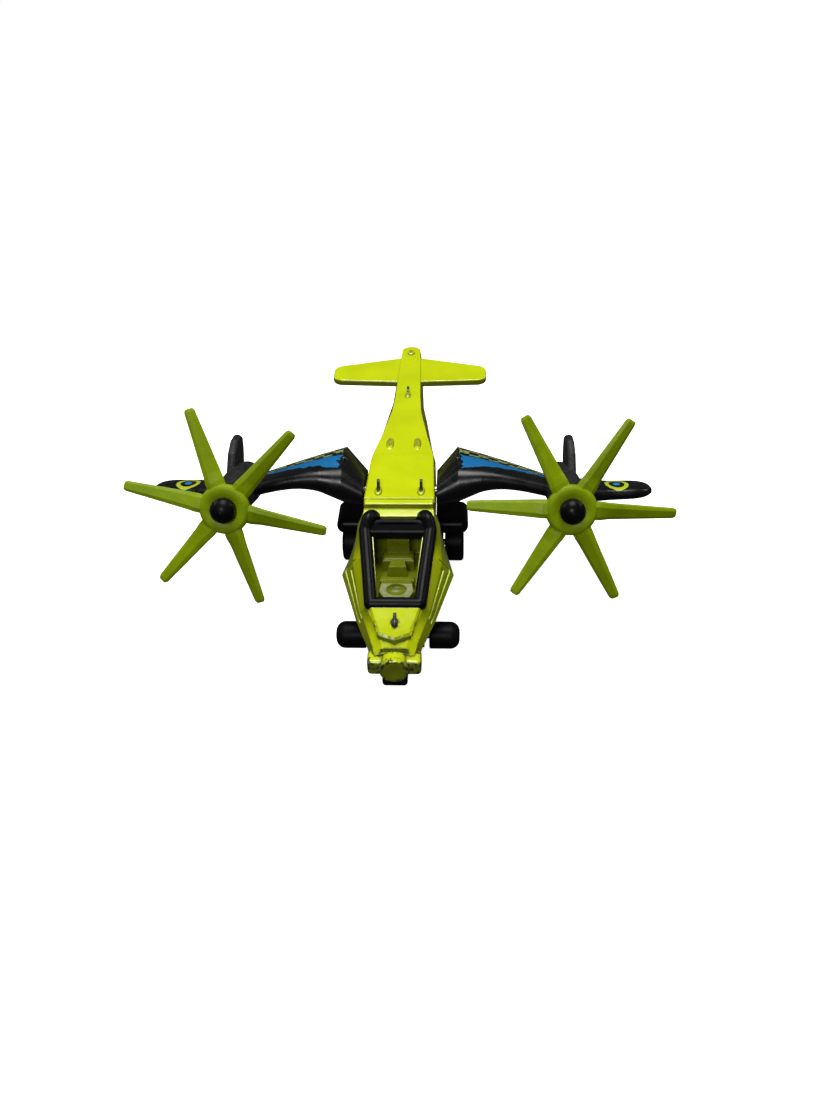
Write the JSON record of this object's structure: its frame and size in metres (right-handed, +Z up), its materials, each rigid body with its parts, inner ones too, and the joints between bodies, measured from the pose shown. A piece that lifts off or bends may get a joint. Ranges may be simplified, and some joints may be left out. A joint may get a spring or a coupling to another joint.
{
  "type": "toy tilt-rotor aircraft",
  "caption": "Die-cast toy tilt-rotor aircraft with an open tandem cockpit, tilting gull wing, spinning rotors on wing pods and rolling wheels.",
  "frame": {"origin": "on the table, under the middle of the aircraft's length, on its centre line", "axes": "+Z up, -Y towards the nose, +X towards the right-hand side as seen from ahead of the nose looking at the tail"},
  "size_m": [0.0847, 0.0824, 0.0337],
  "materials": {
    "lime_paint": "glossy lime paint, chipped on raised edges",
    "lime_interior_plastic": "moulded lime plastic, satin",
    "lime_soft_plastic": "soft moulded lime plastic, satin",
    "black_gloss_plastic": "glossy black moulded plastic, printed on the wing tops",
    "black_wheel_plastic": "satin black plastic",
    "steel": "plain steel wire and pins"
  },
  "bodies": {
    "airframe": {"fuselage_casting": "lime_paint", "canopy_frame": "black_gloss_plastic", "cockpit_tub": "lime_interior_plastic", "base_plate": "black_gloss_plastic", "base_rivet_front": "steel", "base_rivet_rear": "steel"},
    "wing_unit": {"wing_pivot_rod": "steel", "wing_left": "black_gloss_plastic", "wing_right": "black_gloss_plastic", "engine_pod_left": "black_gloss_plastic", "engine_pod_right": "black_gloss_plastic", "wing_lock_pin_left": "steel", "wing_lock_pin_right": "steel", "rotor_pin_left": "black_gloss_plastic", "rotor_pin_right": "black_gloss_plastic"},
    "left_rotor": {"rotor_left": "lime_soft_plastic"},
    "right_rotor": {"rotor_right": "lime_soft_plastic"},
    "nose_wheelset": {"nose_axle": "steel", "nose_roller_left": "black_wheel_plastic", "nose_roller_right": "black_wheel_plastic"},
    "main_wheelset": {"main_axle": "steel", "main_wheel_left": "black_wheel_plastic", "main_wheel_right": "black_wheel_plastic"}
  },
  "joints": [
    {"name": "wing_tilt", "type": "hinge", "parent": "airframe", "child": "wing_unit", "pos_m": [0, -0.0091, 0.015], "axis": [-1, 0, 0], "range_deg": [-25, 65]},
    {"name": "left_rotor_spin", "type": "hinge", "parent": "wing_unit", "child": "left_rotor", "pos_m": [-0.02655, -0.02109, 0.02004], "axis": [0, -0.9063, 0.4226], "continuous": true},
    {"name": "right_rotor_spin", "type": "hinge", "parent": "wing_unit", "child": "right_rotor", "pos_m": [0.02655, -0.02109, 0.02004], "axis": [0, -0.9063, 0.4226], "continuous": true},
    {"name": "nose_roll", "type": "hinge", "parent": "airframe", "child": "nose_wheelset", "pos_m": [0, -0.0302, 0.00215], "axis": [1, 0, 0], "continuous": true},
    {"name": "main_roll", "type": "hinge", "parent": "airframe", "child": "main_wheelset", "pos_m": [0, -0.0082, 0.0033], "axis": [1, 0, 0], "continuous": true}
  ]
}
